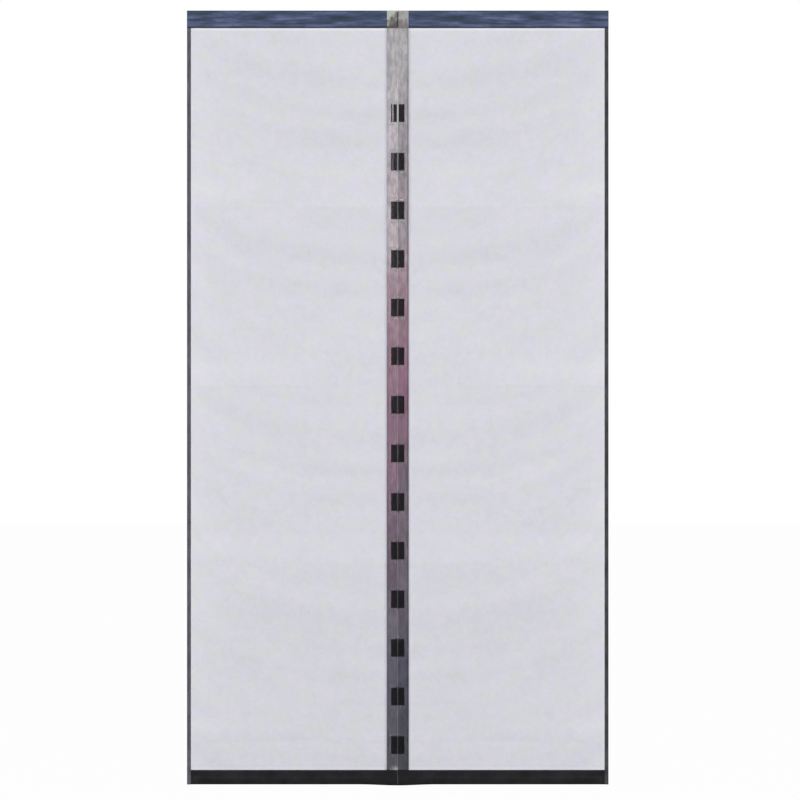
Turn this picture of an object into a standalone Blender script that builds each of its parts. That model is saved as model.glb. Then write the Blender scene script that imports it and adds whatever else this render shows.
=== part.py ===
"""Magnetic plastic door curtain: two frosted leaves that close on a seam of magnets.

Metres, +Z up. The front faces -Y and the door frame is behind the curtain, towards +Y.
The origin is the middle of the adhesive face of the hook tape that holds the curtain to the door head.
Each leaf is described by u, the distance from the closing line (x = 0) out to its side edge,
and is built twice, once for each side. Every strip that is folded over an edge is one open surface,
drawn at the middle of its wall and given its thickness by Solidify.
"""

import math

import bmesh
import bpy
from mathutils import Vector

# Whole curtain
CURTAIN_WIDTH = 1.200
CURTAIN_HEIGHT = 2.206
LEAF_GAP = 0.0008
SEAT = 0.0003

# Frosted sheet
SHEET_THICKNESS = 0.0005
FOLD_PITCH = 0.508
BILLOW = 0.0045
BILLOW_EDGE = 0.055
SWAG_HEIGHT = 0.0010
SWAG_PITCH = 0.127
SWAG_DROP = 0.17
SWAG_REACH = 0.15
SWAG_SPAN = 0.16
CREASE_DEPTH = 0.0015
CREASE_WIDTH = 0.010
SHEET_BAY_ROWS = 12
SHEET_COLUMNS = 7
COLUMN_CROWDING = 0.6

# Clear sleeve that carries the magnets
FILM_THICKNESS = 0.0004
SLEEVE_WIDTH = 0.031
SEAM_OVERLAP = 0.007
POCKET_FLANK = 0.0035
WELD_HALF_GAP = 0.00015
SLEEVE_FOLD = 0.0012

# Magnets
MAGNET_COUNT = 14
MAGNET_WIDTH = 0.018
MAGNET_LENGTH = 0.050
MAGNET_THICKNESS = 0.005
MAGNET_ROUND = 0.0012
MAGNET_ROUND_STEPS = 2
FIRST_MAGNET_DROP = 0.292
LAST_MAGNET_RISE = 0.115

# Head of the curtain
BAND_HEIGHT = 0.050
BAND_THICKNESS = 0.0010
LIP_HEIGHT = 0.006
TAB_THICKNESS = 0.0008
LOOP_TAPE_HEIGHT = 0.040
LOOP_TAPE_THICKNESS = 0.0014
LOOP_TAPE_MARGIN = 0.018
HOOK_TAPE_HEIGHT = 0.040
HOOK_TAPE_THICKNESS = 0.0012
HOOK_TAPE_MARGIN = 0.010
TAPE_ROUND = 0.003
TAPE_ROUND_STEPS = 2

# Side binding
BINDING_WIDTH = 0.011
BINDING_THICKNESS = 0.0004
BINDING_TUCK = 0.030
BINDING_STEP = 0.010
BINDING_STEP_ROWS = 3

# Bottom hem and its weight
HEM_HEIGHT = 0.044
HEM_THICKNESS = 0.0008
HEM_DIP = 0.0030
HEM_DIP_LENGTH = 0.110
HEM_RAMP = 0.014
HEM_BAYS = 3
WEIGHT_HEIGHT = 0.016
WEIGHT_THICKNESS = 0.003
WEIGHT_END_MARGIN = 0.030
WEIGHT_ROUND = 0.006
WEIGHT_ROUND_STEPS = 3
SHEET_IN_HEM = 0.018

# Steps round the fold of a strip, and the length over which the band's lips close at its ends
FOLD_STEPS = 4
RAMP_LENGTH = 0.030

# Places that follow from the sizes
HALF_WIDTH = CURTAIN_WIDTH / 2
LEAF_EDGE = LEAF_GAP / 2
TOP_Z = BAND_HEIGHT / 2
BOTTOM_Z = TOP_Z - CURTAIN_HEIGHT
HEM_TOP_Z = BOTTOM_Z + HEM_HEIGHT
SHEET_BOTTOM_Z = HEM_TOP_Z - SHEET_IN_HEM
SLEEVE_SEAM_U = SLEEVE_WIDTH + SEAM_OVERLAP
BINDING_U = HALF_WIDTH - BINDING_WIDTH

# Half depths of the layers, from the middle of the sheet out
SHEET_HALF = SHEET_THICKNESS / 2
SLEEVE_OUTER = SHEET_HALF + SEAT + FILM_THICKNESS
BINDING_OUTER = SHEET_HALF + SEAT + BINDING_THICKNESS
UNDER_HEAD = max(SLEEVE_OUTER, BINDING_OUTER) + SEAT
HEAD_OUTER = UNDER_HEAD + max(BAND_THICKNESS, TAB_THICKNESS)
HEM_FLAT_OUTER = SHEET_HALF + SEAT + HEM_THICKNESS
SHEET_Y = -(HOOK_TAPE_THICKNESS + SEAT + LOOP_TAPE_THICKNESS + SEAT + HEAD_OUTER)

MAGNET_U = LEAF_EDGE + FILM_THICKNESS + SEAT
MAGNET_TOP_Z = TOP_Z - FIRST_MAGNET_DROP
MAGNET_PITCH = (CURTAIN_HEIGHT - FIRST_MAGNET_DROP - LAST_MAGNET_RISE) / (MAGNET_COUNT - 1)

FACE_COLOURS = {
    "frosted_sheet": ((0.665, 0.665, 0.716), 0.42, 0.0),
    "clear_film": ((0.30, 0.25, 0.29), 0.12, 0.0),
    "navy_band": ((0.075, 0.090, 0.150), 0.55, 0.0),
    "grey_binding": ((0.065, 0.062, 0.072), 0.60, 0.0),
    "black_vinyl": ((0.019, 0.019, 0.021), 0.30, 0.0),
    "loop_pile": ((0.16, 0.15, 0.13), 0.95, 0.0),
    "hook_tape": ((0.62, 0.61, 0.58), 0.65, 0.0),
    "ferrite": ((0.014, 0.014, 0.016), 0.35, 0.0),
    "zinc_plate": ((0.42, 0.43, 0.44), 0.40, 1.0),
}


def clear_scene():
    for obj in list(bpy.data.objects):
        bpy.data.objects.remove(obj, do_unlink=True)


def make_material(name):
    colour, roughness, metallic = FACE_COLOURS[name]
    material = bpy.data.materials.new(name)
    material.use_nodes = True
    shader = material.node_tree.nodes["Principled BSDF"]
    shader.inputs["Base Color"].default_value = (*colour, 1.0)
    shader.inputs["Roughness"].default_value = roughness
    shader.inputs["Metallic"].default_value = metallic
    return material


def smooth_step(value):
    value = min(1.0, max(0.0, value))
    return value * value * (3 - 2 * value)


def spaced(start, end, count):
    """count + 1 even stations from start to end."""
    return [start + (end - start) * i / count for i in range(count + 1)]


def link(obj, parent, material):
    obj.data.materials.append(material)
    obj.parent = parent
    COLLECTION.objects.link(obj)
    return obj


def add_wall(name, columns, rows, place, thickness, parent, material):
    """A grid of columns by rows, each point put by place(column, row), with a wall of thickness."""
    mesh = bpy.data.meshes.new(name)
    grid = bmesh.new()
    across, along = len(columns) - 1, len(rows) - 1
    bmesh.ops.create_grid(grid, x_segments=across, y_segments=along, size=1.0)
    for vertex in grid.verts:
        column = columns[round((vertex.co.x + 1) / 2 * across)]
        row = rows[round((vertex.co.y + 1) / 2 * along)]
        vertex.co = place(column, row)
    bmesh.ops.recalc_face_normals(grid, faces=grid.faces)
    grid.to_mesh(mesh)
    grid.free()
    mesh.shade_smooth()
    obj = link(bpy.data.objects.new(name, mesh), parent, material)
    wall = obj.modifiers.new("Wall", "SOLIDIFY")
    wall.thickness = thickness
    wall.offset = 0.0
    wall.use_even_offset = True
    return obj


def add_bar(name, size, centre, axis, rounding, segments, parent, material):
    """A box of size at centre, with the four edges along axis rounded."""
    mesh = bpy.data.meshes.new(name)
    box = bmesh.new()
    bmesh.ops.create_cube(box, size=1.0)
    bmesh.ops.scale(box, verts=box.verts, vec=size)
    edges = [e for e in box.edges if abs((e.verts[0].co - e.verts[1].co).normalized()[axis]) > 0.99]
    bmesh.ops.bevel(box, geom=edges, offset=rounding, segments=segments, profile=0.5, affect="EDGES")
    box.to_mesh(mesh)
    box.free()
    obj = link(bpy.data.objects.new(name, mesh), parent, material)
    obj.location = centre
    return obj


def turned_edge(front, thickness):
    """Middle line of a strip folded over an edge, as (reach from the edge, depth from the sheet's middle).

    front lists the front layer from its lip to the fold; the back layer is its mirror image.
    The last half depth is also the radius of the fold.
    """
    radius = front[-1][1]
    centre = radius + thickness / 2
    line = list(front)
    for step in range(1, FOLD_STEPS):
        turn = math.pi * step / FOLD_STEPS
        line.append((centre - radius * math.sin(turn), radius * math.cos(turn)))
    return line + [(reach, -half) for reach, half in reversed(front)]


def fold_reach(inner_half, thickness):
    """Distance from a folded edge to where the two layers become parallel."""
    return inner_half + thickness


def fold_heights():
    """Heights of the creases that the packed folds leave, one fold pitch apart from the band down."""
    first, last = TOP_Z - BAND_HEIGHT, HEM_TOP_Z + BILLOW_EDGE
    return [first - i * FOLD_PITCH for i in range(1, int((first - last) / FOLD_PITCH) + 1)]


def relief(u, z):
    """How far the sheet stands forward.

    Between two creases it billows, and soft swags hang across it: they fall from the side edge and
    level out towards the closing line. Its four borders stay flat.
    """
    top, bottom = TOP_Z - BAND_HEIGHT, HEM_TOP_Z
    inner, outer = SLEEVE_SEAM_U, BINDING_U
    edge = min(u - inner, outer - u, z - bottom, top - z)
    bay = (top - z) % FOLD_PITCH
    swell = math.sin(math.pi * bay / FOLD_PITCH) ** 2
    fall = bay - SWAG_DROP * (1 - math.exp((u - outer) / SWAG_REACH))
    swag = math.cos(2 * math.pi * fall / SWAG_PITCH) * math.exp(-((fall / SWAG_SPAN) ** 2))
    crease = math.exp(-((min(bay, FOLD_PITCH - bay) / CREASE_WIDTH) ** 2))
    return smooth_step(edge / BILLOW_EDGE) * (BILLOW * swell + SWAG_HEIGHT * swag - CREASE_DEPTH * crease)


def sheet_rows():
    """Heights of the sheet's grid: even between the creases, with a row on each crease and at its sides."""
    top, bottom = TOP_Z - BAND_HEIGHT, HEM_TOP_Z
    rows = [top]
    for crease in fold_heights():
        rows += spaced(rows[-1], crease + CREASE_WIDTH, SHEET_BAY_ROWS)[1:]
        rows += [crease, crease - CREASE_WIDTH]
    rest = max(2, round((rows[-1] - bottom) / FOLD_PITCH * SHEET_BAY_ROWS))
    return rows + spaced(rows[-1], bottom, rest)[1:]


def make_sheet(side):
    """Frosted sheet, tucked into the sleeve, binding, band and hem at its four edges."""
    top = TOP_Z - fold_reach(UNDER_HEAD, BAND_THICKNESS)
    outer = HALF_WIDTH - fold_reach(SHEET_HALF + SEAT, BINDING_THICKNESS)
    # Columns lie closer towards the side edge, where the swags fall steepest
    shares = [(i / SHEET_COLUMNS) ** COLUMN_CROWDING for i in range(SHEET_COLUMNS + 1)]
    free_width = BINDING_U - SLEEVE_SEAM_U
    columns = [SLEEVE_WIDTH, *(SLEEVE_SEAM_U + share * free_width for share in shares), outer]
    rows = [top, *sheet_rows(), SHEET_BOTTOM_Z]

    def place(u, z):
        return Vector((side * u, SHEET_Y - relief(u, z), z))

    return columns, rows, place


def magnet_heights():
    return [MAGNET_TOP_Z - i * MAGNET_PITCH for i in range(MAGNET_COUNT)]


def make_sleeve(side):
    """Clear film folded along the closing line, its two edges either side of the sheet's edge.

    Around each magnet the two layers part to its thickness, with a welded line above and below.
    """
    flat = SHEET_HALF + SEAT + FILM_THICKNESS / 2
    full = MAGNET_THICKNESS / 2 + SEAT + FILM_THICKNESS / 2
    weld = WELD_HALF_GAP + FILM_THICKNESS / 2
    fold_u = LEAF_EDGE + FILM_THICKNESS / 2
    shoulder_u = MAGNET_U + MAGNET_WIDTH + SEAT + FILM_THICKNESS / 2
    toe_u = shoulder_u + POCKET_FLANK
    shoulder_z = MAGNET_LENGTH / 2 + SEAT + FILM_THICKNESS / 2
    toe_z = shoulder_z + POCKET_FLANK
    # u and the half depth in a pocket, at a weld and elsewhere, from the seam to the fold
    front = [
        (SLEEVE_SEAM_U, flat, flat, flat),
        (SLEEVE_WIDTH, flat, flat, flat),
        (toe_u, flat, weld, flat),
        (shoulder_u, full, weld, flat),
        (fold_u + SLEEVE_FOLD, full, weld, flat),
        (fold_u, full - SLEEVE_FOLD, weld / 2, flat / 2),
    ]
    back = [(u, -a, -b, -c) for u, a, b, c in reversed(front)]
    columns = front + back
    top = TOP_Z - fold_reach(UNDER_HEAD, TAB_THICKNESS)
    rows = [(top, 3)]
    for z in magnet_heights():
        rows += [(z + toe_z, 2), (z + shoulder_z, 1), (z - shoulder_z, 1), (z - toe_z, 2)]
    rows.append((SHEET_BOTTOM_Z, 3))

    def place(column, row):
        z, kind = row
        return Vector((side * column[0], SHEET_Y - column[kind], z))

    return columns, rows, place


def make_head_tab(side):
    """Clear film turned over the top of the sleeve, between the two bands."""
    half = UNDER_HEAD + TAB_THICKNESS / 2
    reach = fold_reach(UNDER_HEAD, TAB_THICKNESS)
    columns = turned_edge([(BAND_HEIGHT, half), (reach, half)], TAB_THICKNESS)
    rows = [LEAF_EDGE, SLEEVE_WIDTH - SEAT / 2]

    def place(column, u):
        return Vector((side * u, SHEET_Y - column[1], TOP_Z - column[0]))

    return columns, rows, place


def make_top_band(side):
    """Woven band folded over the top of the sheet. Its lips close on the sheet between the two ends."""
    half = UNDER_HEAD + BAND_THICKNESS / 2
    pinch = UNDER_HEAD - SHEET_HALF - SEAT
    reach = fold_reach(UNDER_HEAD, BAND_THICKNESS)
    front = [(BAND_HEIGHT, half), (BAND_HEIGHT - LIP_HEIGHT, half), (reach, half)]
    columns = [(i, *point) for i, point in enumerate(turned_edge(front, BAND_THICKNESS))]
    last = len(columns) - 1
    start, end = SLEEVE_WIDTH + SEAT / 2, HALF_WIDTH
    closed_start, closed_end = SLEEVE_SEAM_U + SEAT, BINDING_U - SEAT
    rows = [start, closed_start, closed_start + RAMP_LENGTH]
    rows += [closed_end - RAMP_LENGTH, closed_end, end]

    def place(column, u):
        index, reach, depth = column
        shut = smooth_step(min(u - closed_start, closed_end - u) / RAMP_LENGTH)
        if index in (0, last):
            depth -= math.copysign(pinch * shut, depth)
        return Vector((side * u, SHEET_Y - depth, TOP_Z - reach))

    return columns, rows, place


def make_side_binding(side):
    """Tape folded over the leaf's side edge. It goes under the band above and over the hem below."""
    over_sheet = SHEET_HALF + SEAT + BINDING_THICKNESS / 2
    over_hem = HEM_FLAT_OUTER + SEAT + BINDING_THICKNESS / 2
    steps = len(turned_edge([(1, 1), (1, 1)], 1))
    columns = list(range(steps))
    step_z = HEM_TOP_Z + BINDING_STEP
    rows = [TOP_Z - BINDING_TUCK, TOP_Z - BAND_HEIGHT - LIP_HEIGHT]
    rows += spaced(step_z, HEM_TOP_Z + SEAT, BINDING_STEP_ROWS) + [BOTTOM_Z + HEM_DIP]

    def place(index, z):
        share = smooth_step((step_z - z) / (BINDING_STEP - SEAT))
        half = over_sheet + (over_hem - over_sheet) * share
        lip = (BINDING_WIDTH, half)
        fold = (half + BINDING_THICKNESS / 2, half)
        reach, depth = turned_edge([lip, fold], BINDING_THICKNESS)[index]
        return Vector((side * (HALF_WIDTH - reach), SHEET_Y - depth, z))

    return columns, rows, place


def hem_end_u():
    """Where the hem stops inside the fold of the side binding."""
    return HALF_WIDTH - fold_reach(HEM_FLAT_OUTER + SEAT, BINDING_THICKNESS)


def make_hem(side):
    """Vinyl band folded over the bottom edge, swelling round the weight and pressed flat at both ends."""
    over_sleeve = SLEEVE_OUTER + SEAT + HEM_THICKNESS / 2
    over_sheet = SHEET_HALF + SEAT + HEM_THICKNESS / 2
    swollen = WEIGHT_THICKNESS / 2 + SEAT + HEM_THICKNESS / 2
    start, end = LEAF_EDGE, hem_end_u()
    weight_start, weight_end = WEIGHT_END_MARGIN, HALF_WIDTH - WEIGHT_END_MARGIN
    sleeve_end = SLEEVE_SEAM_U + SEAT
    weight_top = weight_base_z() + WEIGHT_HEIGHT + SEAT
    columns = list(range(len(turned_edge([(1, 1)] * 4, 1))))
    rows = [start, weight_start - HEM_RAMP, weight_start - HEM_RAMP / 2, weight_start - SEAT]
    rows += [sleeve_end, sleeve_end + HEM_RAMP]
    rows += spaced(HEM_DIP_LENGTH, weight_end - HEM_DIP_LENGTH, HEM_BAYS)
    rows += [weight_end + SEAT, weight_end + HEM_RAMP / 2, end]

    def place(index, u):
        flat = over_sheet + (over_sleeve - over_sheet) * smooth_step((sleeve_end + HEM_RAMP - u) / HEM_RAMP)
        near_end = min(u - weight_start + HEM_RAMP, weight_end + HEM_RAMP - u)
        swell = flat + (max(swollen, flat) - flat) * smooth_step(near_end / (HEM_RAMP - SEAT))
        edge_z = BOTTOM_Z + HEM_DIP * smooth_step(u / HEM_DIP_LENGTH)
        front = [
            (HEM_TOP_Z - edge_z, flat),
            (SHEET_BOTTOM_Z - edge_z, flat),
            (weight_top - edge_z, swell),
            (swell + HEM_THICKNESS / 2, swell),
        ]
        reach, depth = turned_edge(front, HEM_THICKNESS)[index]
        return Vector((side * u, SHEET_Y - depth, edge_z + reach))

    return columns, rows, place


def make_leaf(name, side, root, materials):
    """Every piece of one leaf, hung from an empty of its own."""
    leaf = bpy.data.objects.new(f"{name}_leaf", None)
    leaf.parent = root
    COLLECTION.objects.link(leaf)
    walls = (
        ("sheet", make_sheet(side), SHEET_THICKNESS, "frosted_sheet"),
        ("magnet_sleeve", make_sleeve(side), FILM_THICKNESS, "clear_film"),
        ("head_tab", make_head_tab(side), TAB_THICKNESS, "clear_film"),
        ("top_band", make_top_band(side), BAND_THICKNESS, "navy_band"),
        ("side_binding", make_side_binding(side), BINDING_THICKNESS, "grey_binding"),
        ("bottom_hem", make_hem(side), HEM_THICKNESS, "black_vinyl"),
    )
    for piece, (columns, rows, place), thickness, material in walls:
        add_wall(f"{name}_{piece}", columns, rows, place, thickness, leaf, materials[material])
    for number, z in enumerate(magnet_heights(), start=1):
        add_bar(
            f"{name}_magnet_{number:02d}",
            (MAGNET_WIDTH, MAGNET_THICKNESS, MAGNET_LENGTH),
            (side * (MAGNET_U + MAGNET_WIDTH / 2), SHEET_Y, z),
            2,
            MAGNET_ROUND,
            MAGNET_ROUND_STEPS,
            leaf,
            materials["ferrite"],
        )
    loop_end = HALF_WIDTH - LOOP_TAPE_MARGIN
    add_bar(
        f"{name}_loop_tape",
        (loop_end - LEAF_EDGE, LOOP_TAPE_THICKNESS, LOOP_TAPE_HEIGHT),
        (side * (loop_end + LEAF_EDGE) / 2, -HOOK_TAPE_THICKNESS - SEAT - LOOP_TAPE_THICKNESS / 2, 0),
        1,
        TAPE_ROUND,
        TAPE_ROUND_STEPS,
        leaf,
        materials["loop_pile"],
    )
    weight_length = HALF_WIDTH - 2 * WEIGHT_END_MARGIN
    add_bar(
        f"{name}_hem_weight",
        (weight_length, WEIGHT_THICKNESS, WEIGHT_HEIGHT),
        (side * HALF_WIDTH / 2, SHEET_Y, weight_base_z() + WEIGHT_HEIGHT / 2),
        1,
        WEIGHT_ROUND,
        WEIGHT_ROUND_STEPS,
        leaf,
        materials["zinc_plate"],
    )


def weight_base_z():
    """The weight lies where the hem's two layers become parallel, above its fold."""
    inner_half = WEIGHT_THICKNESS / 2 + SEAT
    return BOTTOM_Z + HEM_DIP + fold_reach(inner_half, HEM_THICKNESS)


def make_hook_tape(root, materials):
    """Self-adhesive tape for the door head. Both leaves press onto it."""
    add_bar(
        "door_hook_tape",
        (CURTAIN_WIDTH - 2 * HOOK_TAPE_MARGIN, HOOK_TAPE_THICKNESS, HOOK_TAPE_HEIGHT),
        (0, -HOOK_TAPE_THICKNESS / 2, 0),
        1,
        TAPE_ROUND,
        TAPE_ROUND_STEPS,
        root,
        materials["hook_tape"],
    )


clear_scene()
COLLECTION = bpy.data.collections.new("magnetic_door_curtain")
bpy.context.scene.collection.children.link(COLLECTION)
ROOT = bpy.data.objects.new("curtain", None)
COLLECTION.objects.link(ROOT)
MATERIALS = {name: make_material(name) for name in FACE_COLOURS}
make_hook_tape(ROOT, MATERIALS)
make_leaf("left", -1, ROOT, MATERIALS)
make_leaf("right", 1, ROOT, MATERIALS)
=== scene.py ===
"""Looks of the magnetic plastic door curtain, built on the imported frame.

Metres, +Z up, front towards -Y. On either leaf u is the distance from the closing line, so x = side * u,
and depth is how far a point stands in front of the middle of the sheet.
"""

import math

import bpy
import numpy as np
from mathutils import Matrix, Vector, noise


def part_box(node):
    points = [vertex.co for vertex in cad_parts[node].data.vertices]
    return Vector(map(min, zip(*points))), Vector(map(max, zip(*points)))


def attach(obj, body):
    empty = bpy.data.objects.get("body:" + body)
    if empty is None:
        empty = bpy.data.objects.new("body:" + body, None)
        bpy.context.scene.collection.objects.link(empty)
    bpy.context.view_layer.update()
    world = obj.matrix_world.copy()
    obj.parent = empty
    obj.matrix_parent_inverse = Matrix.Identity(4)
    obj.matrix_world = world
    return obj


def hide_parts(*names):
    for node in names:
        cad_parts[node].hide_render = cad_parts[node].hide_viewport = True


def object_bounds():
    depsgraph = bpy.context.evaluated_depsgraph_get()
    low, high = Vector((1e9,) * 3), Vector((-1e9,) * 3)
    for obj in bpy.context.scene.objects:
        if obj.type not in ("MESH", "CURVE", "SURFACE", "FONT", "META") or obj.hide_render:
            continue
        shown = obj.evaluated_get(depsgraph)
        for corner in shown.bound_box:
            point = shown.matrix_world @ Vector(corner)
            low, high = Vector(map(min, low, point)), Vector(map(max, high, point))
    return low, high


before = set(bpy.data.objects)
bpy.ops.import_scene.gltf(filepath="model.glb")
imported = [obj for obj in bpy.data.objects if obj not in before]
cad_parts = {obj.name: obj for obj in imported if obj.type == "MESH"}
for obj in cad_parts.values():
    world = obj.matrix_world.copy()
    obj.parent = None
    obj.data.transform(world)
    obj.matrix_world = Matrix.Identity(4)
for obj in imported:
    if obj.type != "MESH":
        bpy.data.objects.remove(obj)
CAD_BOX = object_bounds()

SIDES = {"left": -1, "right": 1}
MAGNET_COUNT = 14

# Walls
SHEET_WALL = 0.0005
FILM_WALL = 0.0004
BAND_WALL = 0.0010
TAB_WALL = 0.0008
BINDING_WALL = 0.0004
VINYL_WALL = 0.0008
SEAT = 0.0003
CLOSING_GAP = 0.00006

# Grids, as steps across and along or, for a folded strip, on its flat side, round its turn and along
SHEET_GRID = (108, 384)
SLEEVE_GRID = (67, 480)
BAND_GRID = (22, 13, 150)
TAB_GRID = (26, 11, 26)
BINDING_GRID = (9, 9, 380)
HEM_GRID = (16, 13, 170)
STITCH_SEGMENTS, STITCH_RINGS = 6, 4

# Folds of the frosted sheet
FOLD_PITCH = 0.508
BILLOW = 0.0045
SWAG_DROP = 0.17
SWAG_REACH = 0.15
SWAG_PITCH = 0.127
SWAG_HEIGHT = 0.0010
SWAG_SPAN = 0.16
CREASE_DEPTH = 0.0011
CREASE_WIDTH = 0.006
BORDER = 0.055
# What sets one bay apart from the next in the patterns that follow the swags
BAY_STEP = (1.7, 0.9)
# Ripples: height, width and place in the noise
SHEET_RIPPLES = ((0.0003, 0.055, 3.1), (0.00012, 0.022, 8.7))
# Welded bead along the borders: height, distance from them and half width
WELD_BEAD = 0.00020
WELD_BEAD_IN = 0.0030
WELD_BEAD_HALF = 0.0016
# Painted highlight on the bead where the right sheet is welded to its sleeve: it comes in below a height,
# over a fade
SEAM_HIGHLIGHT = {"left_frosted_sheet": 0.0, "right_frosted_sheet": 0.9}
SEAM_HIGHLIGHT_TOP = -0.55
SEAM_HIGHLIGHT_FADE = 0.2
SEAM_HIGHLIGHT_IN = 0.0038
SEAM_HIGHLIGHT_HALF = 0.0015

# Tone of the sheet: its level, paler at the side edge and above a crease, and darker arcs of painted fold
# shade as place along the swag, width and depth, which are fainter towards the side
TONE_LEVEL = 0.25
TONE_FADE = 0.45
SIDE_PALE, SIDE_PALE_REACH = 0.10, 0.06
CREASE_PALE, CREASE_PALE_ABOVE, CREASE_PALE_WIDTH = 0.16, 0.045, 0.028
SIDE_ARC = 0.6
SHADE_ARCS = ((-0.010, 0.030, 0.12), (0.085, 0.020, 0.09), (0.160, 0.022, 0.09), (-0.110, 0.020, 0.05))

# Sleeve film: how its grid crowds towards the fold, the flank of a pocket, its rumples, how far past a
# magnet's end it is drawn in, and a painted glint stripe along a crease line down over the left magnets
FOLD_CROWDING = 1.35
POCKET_FLANK = 0.0042
RUMPLE = 0.0006
RUMPLES_TO_METRE = 55.0
DRAWN_IN_PAST = 0.005
GLINT_STRIPE_REACH = 0.0138
MAGNET_GLINT_STRIPE = {"left_clear_sleeve": 0.85, "right_clear_sleeve": 0.0}
# Strength of the painted highlight along the film's fold from the first magnet, as a share of the way to the
# last one
GLINT_TOP, GLINT_FOOT = (0.0, 1.0), (1.0, 0.02)
GLINT_BETWEEN = ((0.077, 0.46), (0.154, 0.20), (0.38, 0.09))

# Band: half the length of its turn, its stitch rows as drops from its top edge, how far and wide they
# draw it in, how it closes at its ends and lips, and the height, width and place in the noise of its waves
BAND_TURN = 0.002
BAND_STITCH_ROWS = (0.0055, 0.0415)
STITCH_PULL = 0.00018
STITCH_PULL_HALF = 0.0012
BAND_END_RAMP = 0.030
LIP_RAMP = 0.006
BAND_WAVE, BAND_WAVE_WIDTH, BAND_WAVE_PLACE = 0.00035, 0.045, 5.5

# Tab: height, width and place in the noise of its crumples
TAB_CRUMPLE, TAB_CRUMPLE_WIDTH, TAB_CRUMPLE_PLACE = 0.0002, 0.009, 2.4

# Binding: where it starts to open over the hem, over what length, and its waves
BINDING_RISE_ABOVE = 0.010
BINDING_RISE = 0.0097
BINDING_WAVE = 0.00025
BINDING_WAVES_TO_METRE = 22
BINDING_SIDES_APART = 3.0

# Hem: its dip at the closing line, the ramps over the sleeve and the weight, and its dents
HEM_DIP = 0.0030
HEM_DIP_LENGTH = 0.110
SLEEVE_RAMP = 0.014
WEIGHT_CLEAR = 0.014
WEIGHT_RAMP = 0.0137
WEIGHT_TOP_RAMP = 0.0044
HEM_DENT = 0.00022
HEM_DENTS_TO_METRE = 30

# What sets the front and back of a strip apart in the noise
BAND_FACES_APART, TAB_FACES_APART, HEM_FACES_APART = 4, 6, 200

# Distance of the stitches from a lip, and how far a row stops from its strip's end or another piece
BINDING_STITCH_IN = 0.0022
HEM_STITCH_IN = 0.004
ROW_END = 0.004
ROW_ABOVE_HEM = 0.012
ROW_FROM_SEAM = 0.016
ROW_FROM_BINDING = 0.002

# Studio
FLOOR_DROP = 0.030
FLOOR_REACH = 14
FLOOR_WHITE = 0.975
SKY_LIGHT = 0.45
# Lamps, one on either side: place, size and watts
KEY_OUT, KEY_BACK, KEY_DROP = 4.0, 7.0, 0.1
KEY_SIZE = (2.4, 2.0)
KEY_WATTS = 179
STRIP_OUT, STRIP_BACK, STRIP_RISE = 2.6, 1.6, 0.32
STRIP_SIZE = (0.10, 0.60)
STRIP_WATTS = 3.2
STRIP_AIM_DROP = 0.1

# Tint of the clear film, from the floor up: the photograph's strip runs from slate through rose to clear
LEFT_TINT = (
    (0.03, "#c9c8cc"),
    (0.15, "#cbcad1"),
    (0.21, "#d3d1d6"),
    (0.27, "#d0cbd1"),
    (0.40, "#ddd3da"),
    (0.52, "#e1d6dc"),
    (0.64, "#e7dfe3"),
    (0.70, "#f0edef"),
    (0.78, "#eeebed"),
    (0.85, "#f2f0f2"),
    (0.93, "#edeced"),
)
RIGHT_TINT = (
    (0.03, "#c0c0c4"),
    (0.15, "#c5c4cb"),
    (0.27, "#d3cfd4"),
    (0.39, "#d6d0d5"),
    (0.52, "#dfd1d9"),
    (0.65, "#e6dee2"),
    (0.71, "#e6e2e5"),
    (0.78, "#e4e0e3"),
    (0.85, "#e7e5e7"),
    (0.93, "#edeced"),
)
# Tone of that tint, as a share of the way from the closing line to the frosted sheet, darkened beside the
# sheet's edge as painted shadow
LEFT_EDGE_SHADE = ((0.80, "#ffffff"), (0.97, "#fbfbfb"))
RIGHT_EDGE_SHADE = ((0.84, "#ffffff"), (0.88, "#f3f3f3"), (0.93, "#f3f3f3"), (0.97, "#fbfbfb"))

# Tone of the band from its lip to its fold: dark turned edge, partly painted shadow, stitched rows, and
# painted shade at the dark fold
BAND_TONE_AND_SHADE = (
    (0.030, "#8c8494"),
    (0.060, "#c0bcc4"),
    (0.100, "#ffffff"),
    (0.190, "#ffffff"),
    (0.230, "#e6e8ea"),
    (0.800, "#e0e2e6"),
    (0.850, "#fbffff"),
    (0.900, "#d4dade"),
)

# Woven strips: dark, middle and scuffed shades, and the widths of a rib and of a worn patch in millimetres
BAND_SHADES = ("#394750", "#505c7a", "#7680a0")
BAND_RIB_MM = 0.9
BAND_PATCH_MM = (142.86, 18.18, 1000)
# The bindings are one grey tape: the left one is painted lighter and the right one darker, as painted light
# from the left
LEFT_BINDING_LIT = ("#504e56", "#5c5a62", "#68656f")
RIGHT_BINDING_SHADED = ("#38383b", "#454548", "#525255")
BINDING_RIB_MM = 0.8
BINDING_PATCH_MM = (16.67, 50, 1000)

# Photograph: the object's place in the 800 x 800 frame
PHOTO_SIZE = 800
PHOTO_CENTRE = (397.75, 398.0)
PHOTO_WIDTH = 421.5
LENS = 100
SENSOR = 36

# Settings that many nodes share, and a range that falls from one to nothing
MULTIPLIED = {"data_type": "RGBA", "blend_type": "MULTIPLY"}
EASED = {"interpolation_type": "SMOOTHSTEP"}
FALLING = {"To Min": 1.0, "To Max": 0.0}
# About how many waves to a metre a wave texture has at scale 1
WAVES_AT_ONE = 3.14


def colour(text):
    """Linear colour of an sRGB hex value."""
    parts = [int(text[i : i + 2], 16) / 255 for i in (1, 3, 5)]
    return (*(c / 12.92 if c <= 0.04045 else ((c + 0.055) / 1.055) ** 2.4 for c in parts), 1.0)


def per_metre(*widths):
    """Scale of a pattern, from the width of its features in millimetres along one axis or all three."""
    return 1000 / widths[0] if len(widths) == 1 else tuple(1000 / width for width in widths)


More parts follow.
